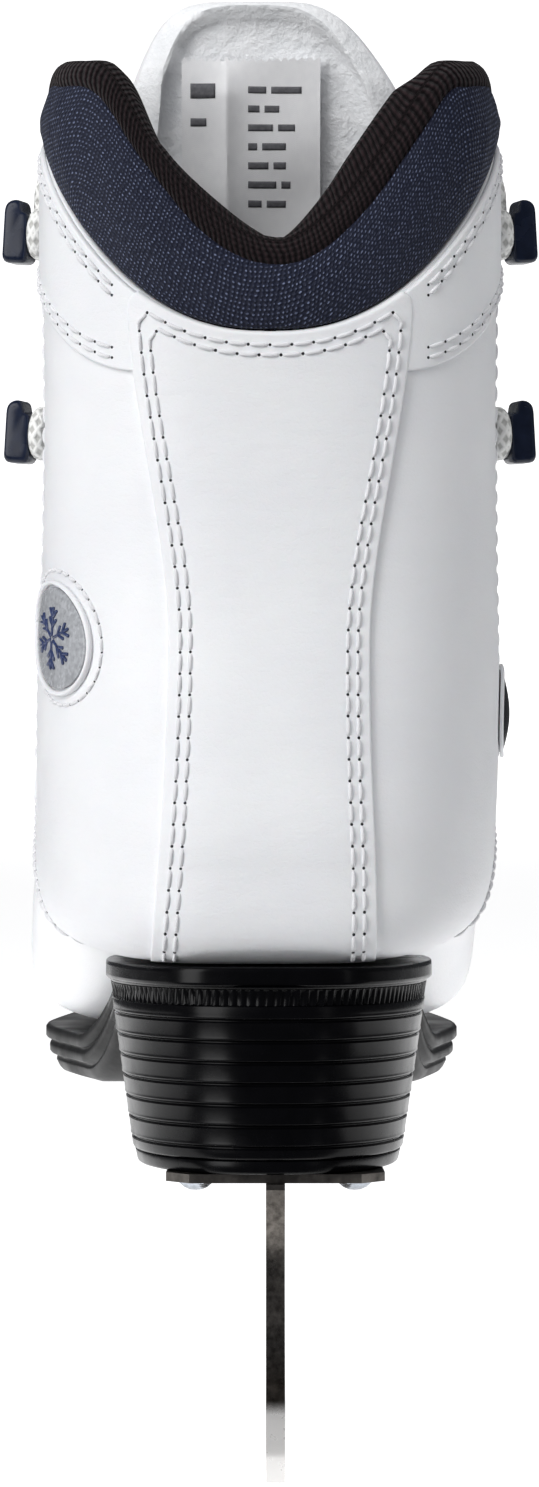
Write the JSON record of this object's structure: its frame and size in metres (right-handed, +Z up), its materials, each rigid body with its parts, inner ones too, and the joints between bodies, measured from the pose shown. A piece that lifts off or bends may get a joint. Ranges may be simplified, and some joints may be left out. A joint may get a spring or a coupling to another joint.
{
  "type": "figure skate",
  "caption": "Junior lace-up ankle boot figure skate with padded collar, stacked heel and a plate-mounted steel blade with toe pick.",
  "frame": {"origin": "lowest point of the blade's ice edge, on the blade's mid-plane", "axes": "+Y towards the toe, +Z up, +X to the wearer's right when the toe points away"},
  "size_m": [0.0956, 0.2188, 0.2567],
  "materials": {
    "white_leather": "fine-grained, soft gloss",
    "navy_mesh": "woven mesh with pale specks",
    "ribbed_lining": "ribbed knit",
    "foot_lining": "smooth textile",
    "stiffener": "pressed fibre board",
    "fleece": "short napped fleece",
    "label": "smooth woven tape",
    "badge": "silver grey moulding",
    "hook_plastic": "moulded, glossy",
    "plated_steel": "bright zinc plating",
    "lace": "flat-braided cord",
    "aglet": "clear tip",
    "outsole": "matte dark grey",
    "heel": "glossy black with turned grooves",
    "blade_steel": "ground steel"
  },
  "bodies": {
    "boot": {"vamp": "white_leather", "quarter_left": "white_leather", "quarter_right": "white_leather", "eyestay_left": "white_leather", "eyestay_right": "white_leather", "collar_facing_left": "white_leather", "collar_facing_right": "white_leather", "backstay": "white_leather", "badge_rim_left": "white_leather", "badge_rim_right": "white_leather", "collar_pad": "navy_mesh", "shaft_lining": "ribbed_lining", "collar_roll": "ribbed_lining", "foot_lining": "foot_lining", "heel_counter": "stiffener", "toe_puff": "stiffener", "lasting_board": "stiffener", "tongue_lower": "fleece", "insole": "fleece", "badge_left": "badge", "badge_right": "badge", "hook_upper_left": "hook_plastic", "hook_upper_right": "hook_plastic", "hook_lower_left": "hook_plastic", "hook_lower_right": "hook_plastic", "eyelets_left": "plated_steel", "eyelets_right": "plated_steel", "heel_screws": "plated_steel", "sole_screws": "plated_steel", "lace": "lace", "lace_knot": "lace", "lace_loops": "lace", "lace_tails": "lace", "aglets": "aglet", "outsole": "outsole", "heel": "heel", "heel_lift": "heel", "runner": "blade_steel", "heel_plate": "blade_steel", "sole_plate": "blade_steel"},
    "tongue_flap": {"tongue_upper": "fleece", "tongue_label": "label"}
  },
  "joints": [
    {"name": "tongue_flex", "type": "hinge", "parent": "boot", "child": "tongue_flap", "pos_m": [0, -0.0296, 0.2285], "axis": [-1, 0, 0], "range_deg": [-3, 50], "stiffness_Nm_per_rad": 0.3}
  ]
}
